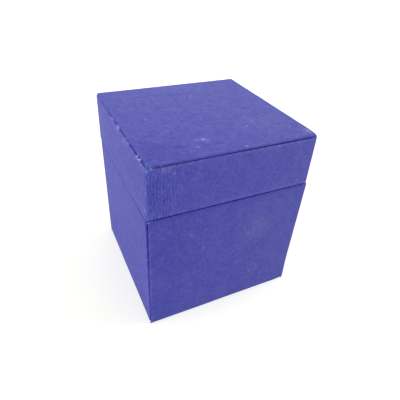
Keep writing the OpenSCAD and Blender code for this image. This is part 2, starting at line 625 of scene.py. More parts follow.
def rim_levels(low, high, radii, count, groove=None):
    """Heights up a wall, with the inset that rounds its two rims: (height, inset).

    A groove of a given depth and inset draws the upper rim down again behind its crest.
    """
    low_radius, radius = radii
    levels = []
    for j in range(RIM_STEPS):
        angle = math.pi / 2 * (1 - j / RIM_STEPS)
        levels.append((low + low_radius * (1 - math.sin(angle)), low_radius * (1 - math.cos(angle))))
    for step in spread(high - low - radius - low_radius, count, RISE_CROWD):
        levels.append((low + low_radius + step, 0.0))
    for j in range(1, RIM_STEPS + 1):
        angle = math.pi / 2 * j / RIM_STEPS
        levels.append((high - radius * (1 - math.sin(angle)), radius * (1 - math.cos(angle))))
    if groove:
        depth, inset = groove
        for j in range(1, GROOVE_STEPS + 1):
            share = j / GROOVE_STEPS
            levels.append((high - depth * share ** 1.5, radius + (inset - radius) * share))
    return levels


class Sheet:
    """Collects points, faces, cloth measures, and wear and painted shade for one mesh."""

    def __init__(self):
        self.points, self.wear, self.faces, self.uvs, self.lined = [], [], [], [], []

    def add(self, x, y, z, wear=0.0):
        """Adds a point and returns its number."""
        self.points.append((x, y, z))
        self.wear.append(wear)
        return len(self.points) - 1

    def face(self, corners, uvs, turned=False, lined=False):
        """Adds a face. A turned one looks the other way."""
        step = -1 if turned else 1
        self.faces.append(tuple(corners)[::step])
        self.uvs.append(tuple(uvs)[::step])
        self.lined.append(lined)

    def mesh(self, name):
        """Makes the mesh object, with the cloth's measures as a UV map in metres."""
        data = bpy.data.meshes.new(name)
        data.from_pydata(self.points, [], self.faces)
        layer = data.uv_layers.new(name=CLOTH_UV)
        flat = [value for corner_uvs in self.uvs for uv in corner_uvs for value in uv]
        layer.data.foreach_set("uv", flat)
        wear = data.attributes.new(WEAR_AND_SHADE, "FLOAT", "POINT")
        wear.data.foreach_set("value", self.wear)
        lined = data.attributes.new(LINED, "BOOLEAN", "FACE")
        lined.data.foreach_set("value", self.lined)
        data.polygons.foreach_set("use_smooth", [True] * len(self.faces))
        data.validate()
        return linked(bpy.data.objects.new(name, data))


def linked(thing):
    """Puts an object into the scene and returns it."""
    bpy.context.scene.collection.objects.link(thing)
    return thing


def fade(distance, reach):
    """1 at no distance, falling smoothly to nothing past the reach."""
    return math.exp(-(distance / reach) ** 2)


def no_wear(point, z, inset):
    """The wear of a board that shows none."""
    return 0.0


def no_lift(x, y, z):
    """Leaves a point of a board where it is."""
    return x, y, z


def stack_ring(sheet, ring, levels, closing_run, lift, wear, lined=False):
    """Stacks a ring of plan points into a wall. Returns the numbers of its points, level by level."""
    grid = []
    for z, inset in levels:
        row = []
        for point in ring(z):
            x, y = point.drawn(min(inset, point.limit))
            row.append(sheet.add(*lift(x, y, z), wear(point, z, inset)))
        grid.append(row)
    plan = ring(levels[0][0])
    runs = [point.run for point in plan] + [closing_run]
    count = len(plan)
    for level in range(len(levels) - 1):
        v0, v1 = levels[level][0], levels[level + 1][0]
        lower, upper = grid[level], grid[level + 1]
        for i in range(count):
            j = (i + 1) % count
            uvs = ((runs[i], v0), (runs[i + 1], v0), (runs[i + 1], v1), (runs[i], v1))
            sheet.face((lower[i], lower[j], upper[j], upper[i]), uvs, lined=lined)
    return grid


def closed_band(name, middle, half, board, radii, levels, inner_levels, counts, wear, lift):
    """A wall band folded all the way round and lined inside."""
    along, arc = counts
    outer = outline(middle, half, radii[0], along, arc)
    inner = outline(middle, (half[0] - board, half[1] - board), radii[1], along, arc)
    length = measure(outer)
    facing_in(inner, outer)
    inner.reverse()
    sheet = Sheet()
    outer_grid = stack_ring(sheet, lambda z: outer, levels, length, lift, wear)
    inner_grid = stack_ring(sheet, lambda z: inner, inner_levels, inner[0].run - length, lift, wear, True)
    count = len(outer)
    for level, below in ((0, True), (-1, False)):
        v = levels[level][0]
        for i in range(count):
            j = (i + 1) % count
            corners = (outer_grid[level][i], outer_grid[level][j],
                       inner_grid[level][count - 1 - j], inner_grid[level][count - 1 - i])
            u0 = outer[i].run
            u1 = outer[j].run if j else length
            sheet.face(corners, ((u0, v), (u1, v), (u1, v + board), (u0, v + board)), below)
    return sheet.mesh(name)


def band_end(last, stop, out, way, tip, sign):
    """Points from the last one of a wall round its tip of cloth and along the mitre to the inside."""
    centre = Vector((last.x, last.y)) - out * tip
    points = []
    for j in range(1, TIP_STEPS + 1):
        angle = TIP_TURN * j / TIP_STEPS
        ray = out * math.cos(angle) + way * math.sin(angle)
        points.append(PlanPoint(centre + ray * tip, ray, fold=1.0, limit=0.8 * tip, deep=j > TIP_SHOWN))
    face_out = out * math.cos(TIP_TURN) + way * math.sin(TIP_TURN)
    start = Vector((points[-1].x, points[-1].y))
    for j in range(1, MITRE_STEPS):
        spot = start.lerp(Vector((stop.x, stop.y)), j / MITRE_STEPS)
        points.append(PlanPoint(spot, face_out, deep=True))
    step = TIP_TURN * tip / TIP_STEPS
    for j, point in enumerate(points):
        point.run = last.run + sign * step * (j + 1)
    return points


def open_band(name, middle, half, board, radii, levels, counts, gap, tips, aside, lift, wear):
    """A wall band whose two ends meet in a mitred joint at the front left corner."""
    along, arc = counts
    left_tip, front_tip = tips
    left_start, front_start = (tip / math.tan(math.pi / 8) for tip in tips)
    left_way, front_way = Vector((-1, 0)), Vector((0, -1))

    def ring(z):
        back = gap(z) / math.sqrt(2)
        stops = (back + front_start - aside, back + left_start + aside)
        outer = outline(middle, half, radii[0], along, arc, stops)
        inner = outline(middle, (half[0] - board, half[1] - board), radii[1], along, arc, (back, back))
        measure(outer)
        facing_in(inner, outer)
        left_end = band_end(outer[-1], inner[-1], left_way, front_way, left_tip, 1)
        front_end = band_end(outer[0], inner[0], front_way, left_way, front_tip, -1)
        return outer + left_end + inner[::-1] + front_end[::-1]

    stations = 4 * (along + 1) + 3 * (arc - 1)
    sheet = Sheet()
    plan = ring(levels[0][0])
    grid = stack_ring(sheet, ring, levels, 0.0, lift, wear)
    inner_first = stations + TIP_STEPS + MITRE_STEPS - 1
    left_end = list(range(stations - 1, inner_first + 1))
    front_end = list(range(inner_first + stations - 1, len(plan))) + [0]
    for level, below in ((0, True), (-1, False)):
        v = levels[level][0]
        row = grid[level]
        for i in range(stations - 1):
            partner = inner_first + stations - 1 - i
            u0, u1 = plan[i].run, plan[i + 1].run
            uvs = ((u0, v), (u1, v), (u1, v + board), (u0, v + board))
            sheet.face((row[i], row[i + 1], row[partner - 1], row[partner]), uvs, below)
        for end in (left_end, front_end):
            sheet.face([row[i] for i in end], [(plan[i].run, v) for i in end], below)
    return sheet.mesh(name)


def covered_board(name, middle, half, radius, profile, counts, wear=no_wear, turn=0.0, lined=False,
                  drawn_in=lambda point, inset: inset, sunk=lambda x, y: 0.0):
    """A flat board with rounded corners.

    The profile gives its side from below to above as (inset, height). An inset may be changed by side with
    drawn_in, and a place may be lowered with sunk.
    """
    along, arc = counts
    plan = outline((0.0, 0.0), half, radius, along, arc)
    length = measure(plan)
    spin = Matrix.Rotation(turn, 2)
    sheet = Sheet()

    def place(x, y):
        return spin @ Vector((x, y)) + Vector(middle)

    rows = []
    for inset, z in profile:
        row = []
        for point in plan:
            spot = place(*point.drawn(drawn_in(point, inset)))
            row.append(sheet.add(*spot, z - sunk(point.x, point.y), wear(point, z, inset)))
        rows.append(row)
    count = len(plan)
    runs = [point.run for point in plan] + [length]
    v = 0.0
    for low in range(len(profile) - 1):
        climb = math.dist(profile[low], profile[low + 1])
        for i in range(count):
            j = (i + 1) % count
            uvs = ((runs[i], v), (runs[i + 1], v), (runs[i + 1], v + climb), (runs[i], v + climb))
            sheet.face((rows[low][i], rows[low][j], rows[low + 1][j], rows[low + 1][i]), uvs)
        v += climb
    flat = [size - radius for size in half]
    xs, ys = ([step - size for step in spread(2 * size, along, WALL_CROWD)] for size in flat)
    stride = along + arc
    for row, (inset, z), below in ((rows[0], profile[0], True), (rows[-1], profile[-1], False)):
        grid = [[(sheet.add(*place(x, y), z - sunk(x, y)), (x, y)) for x in xs] for y in ys]
        rim = [(number, point.drawn(inset)) for number, point in zip(row, plan)]

        def put(*corners):
            numbers, spots = zip(*corners)
            sheet.face(numbers, spots, below, lined and below)

        for lower, upper in zip(grid, grid[1:]):
            for i in range(along):
                put(lower[i], lower[i + 1], upper[i + 1], upper[i])
        edges = (grid[0], [line[-1] for line in grid], grid[-1][::-1], [line[0] for line in grid[::-1]])
        for wall, edge in enumerate(edges):
            first = wall * stride
            for i in range(along):
                put(rim[first + i], rim[first + i + 1], edge[i + 1], edge[i])
            for i in range(first + along, first + stride):
                put(rim[i], rim[(i + 1) % count], edge[along])
    return sheet.mesh(name)


# Node trees

class Value:
    """A number made by nodes, for use in sums. In + and * it stands before a plain number."""

    def __init__(self, socket):
        self.socket = socket

    def __add__(self, other):
        return math_of("ADD", self, other)

    def __sub__(self, other):
        return math_of("SUBTRACT", self, other)

    def __rsub__(self, other):
        return math_of("SUBTRACT", other, self)

    def __mul__(self, other):
        return math_of("MULTIPLY", self, other)

    def __truediv__(self, other):
        return math_of("DIVIDE", self, other)

    def __rtruediv__(self, other):
        return math_of("DIVIDE", other, self)


def feed(socket, source):
    """Links a socket or a value to a node's input, or sets a constant there."""
    if isinstance(source, Value):
        source = source.socket
    if isinstance(source, bpy.types.NodeSocket):
        socket.id_data.links.new(source, socket)
    else:
        socket.default_value = source


def add_node(tree, kind, inputs, **settings):
    """Makes a node with its settings. Its inputs are given by name or by number."""
    node = tree.nodes.new(kind)
    for name, setting in settings.items():
        setattr(node, name, setting)
    for key, source in inputs.items():
        feed(node.inputs[key], source)
    return node


def math_of(operation, *values, clamp=False):
    """The result of a Math node on numbers, at least one of which is a Value."""
    tree = next(value.socket.id_data for value in values if isinstance(value, Value))
    node = add_node(tree, "ShaderNodeMath", dict(enumerate(values)), operation=operation, use_clamp=clamp)
    return Value(node.outputs[0])


def vector_of(tree, operation, *vectors, scale=None):
    """The result of a Vector Math node: a Value for a length or a distance, and else a socket."""
    inputs = dict(enumerate(vectors))
    if scale is not None:
        inputs["Scale"] = scale
    node = add_node(tree, "ShaderNodeVectorMath", inputs, operation=operation)
    return Value(node.outputs["Value"]) if operation in ("LENGTH", "DISTANCE") else node.outputs["Vector"]


def ramp(value, low, high, to_low=0.0, to_high=1.0, smooth=True):
    """Maps a value from low..high to to_low..to_high, with soft ends or evenly."""
    inputs = {"Value": value, "From Min": low, "From Max": high, "To Min": to_low, "To Max": to_high}
    kind = "SMOOTHSTEP" if smooth else "LINEAR"
    node = add_node(value.socket.id_data, "ShaderNodeMapRange", inputs, interpolation_type=kind)
    return Value(node.outputs["Result"])


def axes(tree, vector):
    """The parts of a vector along X, Y and Z."""
    return [Value(part) for part in add_node(tree, "ShaderNodeSeparateXYZ", {0: vector}).outputs]


def new_shaper(name, kinds):
    """A node tree that takes a mesh and the named inputs and gives a mesh. Returns it with its inputs."""
    tree = bpy.data.node_groups.new(name, "GeometryNodeTree")
    tree.interface.new_socket("Geometry", in_out="INPUT", socket_type="NodeSocketGeometry")
    for label, kind in kinds:
        tree.interface.new_socket(label, in_out="INPUT", socket_type="NodeSocket" + kind)
    tree.interface.new_socket("Geometry", in_out="OUTPUT", socket_type="NodeSocketGeometry")
    return tree, tree.nodes.new("NodeGroupInput").outputs


def handmade_tree():
    """Lets a true board lean, flare and bow as a glued one does."""
    name = "Hand-made board"
    if name in bpy.data.node_groups:
        return bpy.data.node_groups[name]
    numbers = ("Left Out", "Right Out", "Front Out", "Back Out", "Held Height", "Free Height",
               "West", "East", "South", "North", "Bow", "Bow Length", "Seed")
    kinds = [(label, "Float") for label in numbers] + [("Cover", "Material"), ("Lining", "Material")]
    tree, given = new_shaper(name, kinds)
    size = {label: Value(given[label]) for label in numbers}
    place = tree.nodes.new("GeometryNodeInputPosition").outputs[0]
    x, y, z = axes(tree, place)
    free = ramp(z, size["Held Height"], size["Free Height"], smooth=False)
    across = ramp(x, size["West"], size["East"], size["Left Out"] * -1.0, size["Right Out"], False)
    along = ramp(y, size["South"], size["North"], size["Front Out"] * -1.0, size["Back Out"], False)
    lean = add_node(tree, "ShaderNodeCombineXYZ", {"X": across * free, "Y": along * free})
    noise = add_node(
        tree, "ShaderNodeTexNoise",
        {"Vector": place, "W": size["Seed"], "Scale": 1.0 / size["Bow Length"], "Detail": 1.0},
        noise_dimensions="4D")
    swing = (Value(noise.outputs[0]) - 0.5) * size["Bow"]
    normal = tree.nodes.new("GeometryNodeInputNormal").outputs[0]
    push = vector_of(tree, "SCALE", normal, scale=swing * BOW_GAIN)
    offset = vector_of(tree, "ADD", lean.outputs[0], push)
    moved = add_node(tree, "GeometryNodeSetPosition", {"Geometry": given["Geometry"], "Offset": offset})
    real = add_node(tree, "GeometryNodeRealizeInstances", {0: moved.outputs[0]})
    covered = add_node(
        tree, "GeometryNodeSetMaterial", {"Geometry": real.outputs[0], "Material": given["Cover"]})
    inside = add_node(tree, "GeometryNodeInputNamedAttribute", {"Name": LINED}, data_type="BOOLEAN")
    lining = add_node(
        tree, "GeometryNodeSetMaterial",
        {"Geometry": covered.outputs[0], "Selection": inside.outputs[0], "Material": given["Lining"]})
    add_node(tree, "NodeGroupOutput", {"Geometry": lining.outputs[0]})
    return tree


def thread_tree():
    """Sets a short bent thread on every point, each turned and sized differently."""
    kinds = (("Length", "Float"), ("Thickness", "Float"), ("Seed", "Int"), ("Material", "Material"))
    tree, given = new_shaper("Frayed threads", kinds)
    bend = add_node(
        tree, "GeometryNodeCurveQuadraticBezier", {"Resolution": THREAD_STEPS, "Start": (0, 0, 0)})
    for name, share in (("Middle", THREAD_MIDDLE), ("End", THREAD_END)):
        feed(bend.inputs[name], vector_of(tree, "SCALE", share, scale=given["Length"]))
    ring = add_node(
        tree, "GeometryNodeCurvePrimitiveCircle",
        {"Resolution": THREAD_SIDES, "Radius": Value(given["Thickness"]) * 0.5})
    tube = add_node(
        tree, "GeometryNodeCurveToMesh",
        {"Curve": bend.outputs[0], "Profile Curve": ring.outputs[0], "Fill Caps": True})
    points = add_node(tree, "GeometryNodeMeshToPoints", {"Mesh": given["Geometry"]})
    turn = add_node(
        tree, "FunctionNodeRandomValue",
        {0: THREAD_TURNS[0], 1: THREAD_TURNS[1], "Seed": given["Seed"]}, data_type="FLOAT_VECTOR")
    grow = add_node(
        tree, "FunctionNodeRandomValue",
        {2: THREAD_GROWTH[0], 3: THREAD_GROWTH[1], "Seed": given["Seed"]})
    strew = add_node(
        tree, "GeometryNodeInstanceOnPoints",
        {"Points": points.outputs[0], "Instance": tube.outputs[0], "Rotation": turn.outputs[0],
         "Scale": grow.outputs[1]})
    real = add_node(tree, "GeometryNodeRealizeInstances", {0: strew.outputs[0]})
    dress = add_node(
        tree, "GeometryNodeSetMaterial", {"Geometry": real.outputs[0], "Material": given["Material"]})
    add_node(tree, "NodeGroupOutput", {"Geometry": dress.outputs[0]})
    return tree


def finished(thing, tree, values):
    """Applies a node tree to a raw mesh object and returns the plain mesh object that it makes."""
    change = thing.modifiers.new("shape", "NODES")
    change.node_group = tree
    for item in tree.interface.items_tree:
        if item.in_out == "INPUT" and item.name in values:
            change[item.identifier] = values[item.name]
    graph = bpy.context.evaluated_depsgraph_get()
    data = bpy.data.meshes.new_from_object(thing.evaluated_get(graph), depsgraph=graph)
    name = thing.name
    raw = thing.data
    bpy.data.objects.remove(thing)
    bpy.data.meshes.remove(raw)
    data.name = name
    return linked(bpy.data.objects.new(name, data))


def handmade(thing, box, seed, boards, cover, outs=UPRIGHT, heights=None, waves=1.0):
    """Leans and bows a board and gives it its cover and its lining.

    The board leans out to the left, right, front and back by outs, from nothing at the first of the heights
    to all of it at the second.
    """
    low, high = box
    held, free = heights or (low.z, high.z)
    left, right, front, back = outs
    return finished(thing, handmade_tree(), {
        "Left Out": left, "Right Out": right, "Front Out": front, "Back Out": back,
        "Held Height": held, "Free Height": free,
        "West": low.x, "East": high.x, "South": low.y, "North": high.y,
        "Bow": boards.bow * waves, "Bow Length": boards.bow_length, "Seed": seed,
        "Cover": cover, "Lining": lining_material(),
    })


# Materials

def new_material(name):
    """An empty node material with its tree and its output."""
    stuff = bpy.data.materials.new(name)
    stuff.use_nodes = True
    stuff.node_tree.nodes.clear()
    out = stuff.node_tree.nodes.new("ShaderNodeOutputMaterial")
    return stuff, stuff.node_tree, out.inputs["Surface"]


def object_place(tree):
    """The place of a point on the object."""
    return tree.nodes.new("ShaderNodeTexCoord").outputs["Object"]


def noise_of(tree, vector, pattern):
    """Noise about a half in one of the patterns above."""
    sizes, detail, seed, roughness = pattern
    mapping = add_node(tree, "ShaderNodeMapping", {
        "Vector": vector, "Scale": [1 / (size * MM) for size in sizes],
        "Location": (seed, seed * 1.7, seed * 0.3)})
    noise = add_node(tree, "ShaderNodeTexNoise", {
        "Vector": mapping.outputs[0], "Scale": 1.0, "Detail": detail, "Roughness": roughness})
    return Value(noise.outputs[0])


def swing_of(tree, vector, pattern):
    """Noise about nothing in one of the patterns above."""
    return noise_of(tree, vector, pattern) - 0.5


def by_side(sides, strengths):
    """A strength for all sides, with what each named side adds to it."""
    total = strengths.get("all", 0.0)
    for name, strength in strengths.items():
        if name in sides:
            total = sides[name] * strength + total
    return total


def from_place(value, limits):
    """Nothing up to the first limit and 1 from the second one on. The limits are in millimetres."""
    return ramp(value, limits[0] * MM, limits[1] * MM)


def mark_group():
    """A node group that is 1 inside an ellipsoid and 0 outside it."""
    name = "Mark"
    if name in bpy.data.node_groups:
        return bpy.data.node_groups[name]
    tree = bpy.data.node_groups.new(name, "ShaderNodeTree")
    for label in ("Place", "Centre", "Reach"):
        tree.interface.new_socket(label, in_out="INPUT", socket_type="NodeSocketVector")
    tree.interface.new_socket("Strength", in_out="INPUT", socket_type="NodeSocketFloat")
    tree.interface.new_socket("Mark", in_out="OUTPUT", socket_type="NodeSocketFloat")
    given = tree.nodes.new("NodeGroupInput").outputs
    away = vector_of(tree, "SUBTRACT", given["Place"], given["Centre"])
    far = vector_of(tree, "LENGTH", vector_of(tree, "DIVIDE", away, given["Reach"]))
    inside = ramp(far, MARK_CORE, 1.0, 1.0, 0.0)
    add_node(tree, "NodeGroupOutput", {"Mark": inside * Value(given["Strength"])})
    return tree


def marks(tree, place, spots, operation="MAXIMUM"):
    """Chains the marks of a list into one value."""
    total = None
    for centre, reach, strength in spots:
        group = add_node(tree, "ShaderNodeGroup", {}, node_tree=mark_group())
        feed(group.inputs["Place"], place)
        feed(group.inputs["Centre"], [value * MM for value in centre])
        feed(group.inputs["Reach"], [value * MM for value in reach])
        feed(group.inputs["Strength"], strength)
        mark = Value(group.outputs[0])
        total = mark if total is None else math_of(operation, total, mark)
    return total


def mixed(tree, share, under, over):
    """Lays a constant colour over another colour, by a share."""
    mix = add_node(
        tree, "ShaderNodeMix", {MIX_SHARE: share, MIX_UNDER: under, MIX_OVER: (*over, 1)}, data_type="RGBA")
    return mix.outputs[MIX_RESULT]


def dressed(tree, surface, tone, grain, shine, height, relief):
    """Makes a surface of a colour, with a roughness that follows a grain and a fine relief."""
    rough, added, gloss = shine
    bump = add_node(tree, "ShaderNodeBump", {"Height": height, "Strength": 1.0, "Distance": relief})
    shade = add_node(tree, "ShaderNodeBsdfPrincipled", {
        "Base Color": tone, "Roughness": grain * added + rough, "Specular IOR Level": gloss,
        "Normal": bump.outputs[0]})
    feed(surface, shade.outputs[0])


def weave_of(tree, cloth, run, climb, pitch):
    """Threads that cross over and under each other, a little uneven."""
    threads = []
    for way, wander in ((run, WANDER_ACROSS), (climb, WANDER_UP)):
        turns = way / pitch + swing_of(tree, cloth, wander) * THREAD_WANDER
        threads.append(math_of("SINE", turns * math.pi))
    crossing = threads[0] * threads[1]
    return math_of("ABSOLUTE", crossing) * THREAD_CROWN + crossing * THREAD_OVER + 0.5


def ribs_of(tree, cloth, run, climb, look):
    """Raised upright threads, broken up as they rise and sink in the weave."""
    turns = run / look.rib + swing_of(tree, cloth, RIB_DRIFT) * RIB_WANDER
    crest = math_of("MAXIMUM", math_of("SINE", turns * (2 * math.pi)), 0.0)
    beads = math_of("SINE", climb * (math.pi / look.pitch)) * BEAD_DEPTH + BEAD_MIDDLE
    broken = ramp(noise_of(tree, cloth, RIB_BREAKS), *RIB_MOTTLE)
    dashes = swing_of(tree, cloth, RIB_DASHES)
    rib = (math_of("POWER", crest, RIB_SHARPNESS) - RIB_MEAN) * beads * broken
    return rib * RIB_STRENGTH + dashes * DASH_STRENGTH


def cloth_material():
    """Worn linen-grain cloth."""
    name = "Linen-grain cloth"
    if name in bpy.data.materials:
        return bpy.data.materials[name]
    look = bpy.context.scene.covered_box_cloth
    stuff, tree, surface = new_material(name)
    cloth = add_node(tree, "ShaderNodeUVMap", {}, uv_map=CLOTH_UV).outputs[0]
    place = object_place(tree)
    run, climb, _ = axes(tree, cloth)
    x, y, z = axes(tree, place)
    on_lid, on_front = from_place(z, LID_FROM), from_place(y, FRONT_FROM)
    sides = {
        "lid": on_lid, "front": on_front, "lid front": on_lid * on_front, "top": from_place(z, TOP_FROM),
        "hidden": math_of("MAXIMUM", from_place(x, RIGHT_FROM), from_place(y, BACK_FROM)),
    }

    # Woven threads, ribs on the front, thick threads, blotches and grain
    weave = weave_of(tree, cloth, run, climb, look.pitch)
    ribbed = ramp(x, RIBBED[0] * MM, RIBBED[1] * MM, 1.0, RIB_ON_RIGHT) * by_side(sides, RIB_BY_SIDE)
    rib = ribs_of(tree, cloth, run, climb, look) * ribbed
    slub = swing_of(tree, cloth, SLUBS_UP) + swing_of(tree, cloth, SLUBS_ACROSS)
    blotch = swing_of(tree, place, BLOTCHES)
    grain = noise_of(tree, place, GRAIN)
    fluff = swing_of(tree, place, FLUFF)

    # How light the cloth is, about 1, with painted light and shade by side and in patches
    light = by_side(sides, LIGHTNESS_AND_SHADE_BY_SIDE) + marks(tree, place, PAINTED_LIGHT_AND_TONE_PATCHES, "ADD")
    light = light + blotch * by_side(sides, BLOTCH_BY_SIDE)
    light = light + (grain - 0.5) * by_side(sides, GRAIN_BY_SIDE) + fluff * by_side(sides, FLUFF_BY_SIDE)
    light = light + slub * SLUB_LIGHT + (weave - WEAVE_MIDDLE) * WEAVE_LIGHT + rib * RIB_LIGHT

    # One attribute holds rubbed edges above 0, the painted shadow of the lid from 0 to -1, and deep crevices
    # with a painted shade below that
    wear = Value(add_node(tree, "ShaderNodeAttribute", {}, attribute_name=WEAR_AND_SHADE).outputs["Fac"])
    shade_under_lid = ramp(wear, 0.0, -1.0, smooth=False)
    deep = ramp(wear, -1.0, DEEP, smooth=False)
    shaded_under_lid = (shade_under_lid - deep) * ramp(blotch + 0.5, *SHADE_UNDER_LID_MOTTLE)
    light = light * (1.0 - shaded_under_lid * SHADE_UNDER_LID_DARK)

    # Light threads and painted light are whiter, dark threads and painted shade bluer, and deep crevices get
    # a painted shade that is darker in red and green and bluer
    gain = vector_of(tree, "ADD", vector_of(tree, "SCALE", LIGHTER, scale=light - 1.0), (1, 1, 1))
    gain = vector_of(tree, "ADD", gain, vector_of(tree, "SCALE", CREVICE_SHADE_TINT, scale=deep))
    clean = vector_of(tree, "MULTIPLY", gain, look.colour)

    # Dust, more of it to the right and where patches of it lie; some patches are painted floor light low on
    # the front and the left side, and painted sheen at the back of the left side
    warp = add_node(tree, "ShaderNodeTexNoise", {"Vector": place, "Scale": 1 / RAGGED_GRAIN, "Detail": 3.0})
    middle = vector_of(tree, "ADD", place, (-RAGGED / 2,) * 3)
    ragged = vector_of(tree, "MULTIPLY_ADD", warp.outputs["Color"], (RAGGED,) * 3, middle)
    span = [value * MM for value in DUST_SPAN]
    even = ramp(x, *span, *(share * look.dustiness for share in DUST_SHARES), smooth=False)
    off_ring = vector_of(tree, "DISTANCE", ragged, [value * MM for value in RING_PLACE]) - RING_RADIUS * MM
    ring = ramp(math_of("ABSOLUTE", off_ring), 0.0, RING_WIDTH * MM, RING_DUST, 0.0)
    dust_and_painted_light = even + marks(tree, ragged, DUST_AND_PAINTED_LIGHT_PATCHES, "ADD") + ring + blotch * DUST_BLOTCH
    dust_and_painted_light = math_of("MULTIPLY", dust_and_painted_light, ramp(grain, *DUST_MOTTLE), clamp=True)
    tone = mixed(tree, dust_and_painted_light, clean, look.dust_and_painted_light)

    # Rubbed edges and spots
    edges = math_of("MAXIMUM", wear, 0.0) * ramp(noise_of(tree, place, FRAY), *FRAY_MOTTLE)
    spots = marks(tree, ragged, RUBBED_SPOTS) * ramp(grain, *SPOT_MOTTLE)
    rubbed = math_of("MULTIPLY", math_of("MAXIMUM", edges, spots), RUBBED_MOST, clamp=True)
    tone = mixed(tree, rubbed, tone, look.worn)
    tone = mixed(tree, marks(tree, place, (BLUE_STAIN,)), tone, BLUE_STAIN_COLOUR)

    height = weave + slub * SLUB_HEIGHT + rib * RIB_HEIGHT
    dressed(tree, surface, tone, grain, CLOTH_SHINE, height, look.relief)
    return stuff


def thread_material():
    """Pale rubbed thread."""
    name = "Frayed thread"
    if name in bpy.data.materials:
        return bpy.data.materials[name]
    stuff, tree, surface = new_material(name)
    place = object_place(tree)
    patch = noise_of(tree, place, THREAD_PATCHES)
    fine = noise_of(tree, place, THREAD_GRAIN)
    least, by_patch, by_grain = THREAD_LIGHT
    light = patch * by_patch + fine * by_grain + least
    tone = vector_of(tree, "SCALE", THREAD_COLOUR, scale=light)
    tone = mixed(tree, marks(tree, place, (BLUE_STAIN,)), tone, BLUE_STAIN_COLOUR)
    dressed(tree, surface, tone, fine, THREAD_SHINE, fine, FIBRE_RELIEF)
    return stuff


def lining_material():
    """Plain matt paper with a faint fibre."""
    name = "Lining paper"
    if name in bpy.data.materials:
        return bpy.data.materials[name]
    look = bpy.context.scene.covered_box_cloth
    stuff, tree, surface = new_material(name)
    place = object_place(tree)
    fibre = noise_of(tree, place, PAPER_FIBRE)
    cloud = swing_of(tree, place, PAPER_CLOUDS)
    by_fibre, by_cloud = PAPER_LIGHT
    light = (fibre - 0.5) * by_fibre + cloud * by_cloud + 1.0
    tone = vector_of(tree, "SCALE", look.lining, scale=light)
    dressed(tree, surface, tone, fibre, PAPER_SHINE, fibre, FIBRE_RELIEF)
    return stuff


def seen_directly(tree):
    """1 where the camera sees a thing, also in a mirror or through glass, and else 0."""
    path = tree.nodes.new("ShaderNodeLightPath").outputs
    seen = math_of("MAXIMUM", Value(path["Is Camera Ray"]), Value(path["Is Glossy Ray"]))
    return math_of("MAXIMUM", seen, Value(path["Is Transmission Ray"]))


def floor_material(colour, glow_strength):
    """A pale floor, seen white, that keeps the box's shadow."""
    stuff, tree, surface = new_material("Pale floor")
    board = add_node(tree, "ShaderNodeBsdfDiffuse", {"Color": (*colour, 1)})
    # Less blue in the glow near the box: a painted tint that cancels the blue light that the box throws on
    # the floor
    far = vector_of(tree, "LENGTH", object_place(tree))
    blue = ramp(far, BOUNCE_CANCEL_REACH[0] * MM, BOUNCE_CANCEL_REACH[1] * MM, BOUNCE_CANCEL_BLUE, 1.0)
    tint = add_node(tree, "ShaderNodeCombineColor", {"Red": 1.0, "Green": 1.0, "Blue": blue})
    strength = seen_directly(tree) * glow_strength
    glow = add_node(tree, "ShaderNodeEmission", {"Color": tint.outputs[0], "Strength": strength})
    total = add_node(tree, "ShaderNodeAddShader", {0: board.outputs[0], 1: glow.outputs[0]})
    feed(surface, total.outputs[0])
    return stuff


# Operators

def half_sizes(low, high, right=0.0):
    """Middle and half sizes of a box, seen from above, with its right side moved out."""
    east = high.x + right
    return ((low.x + east) / 2, (low.y + high.y) / 2), ((east - low.x) / 2, (high.y - low.y) / 2)


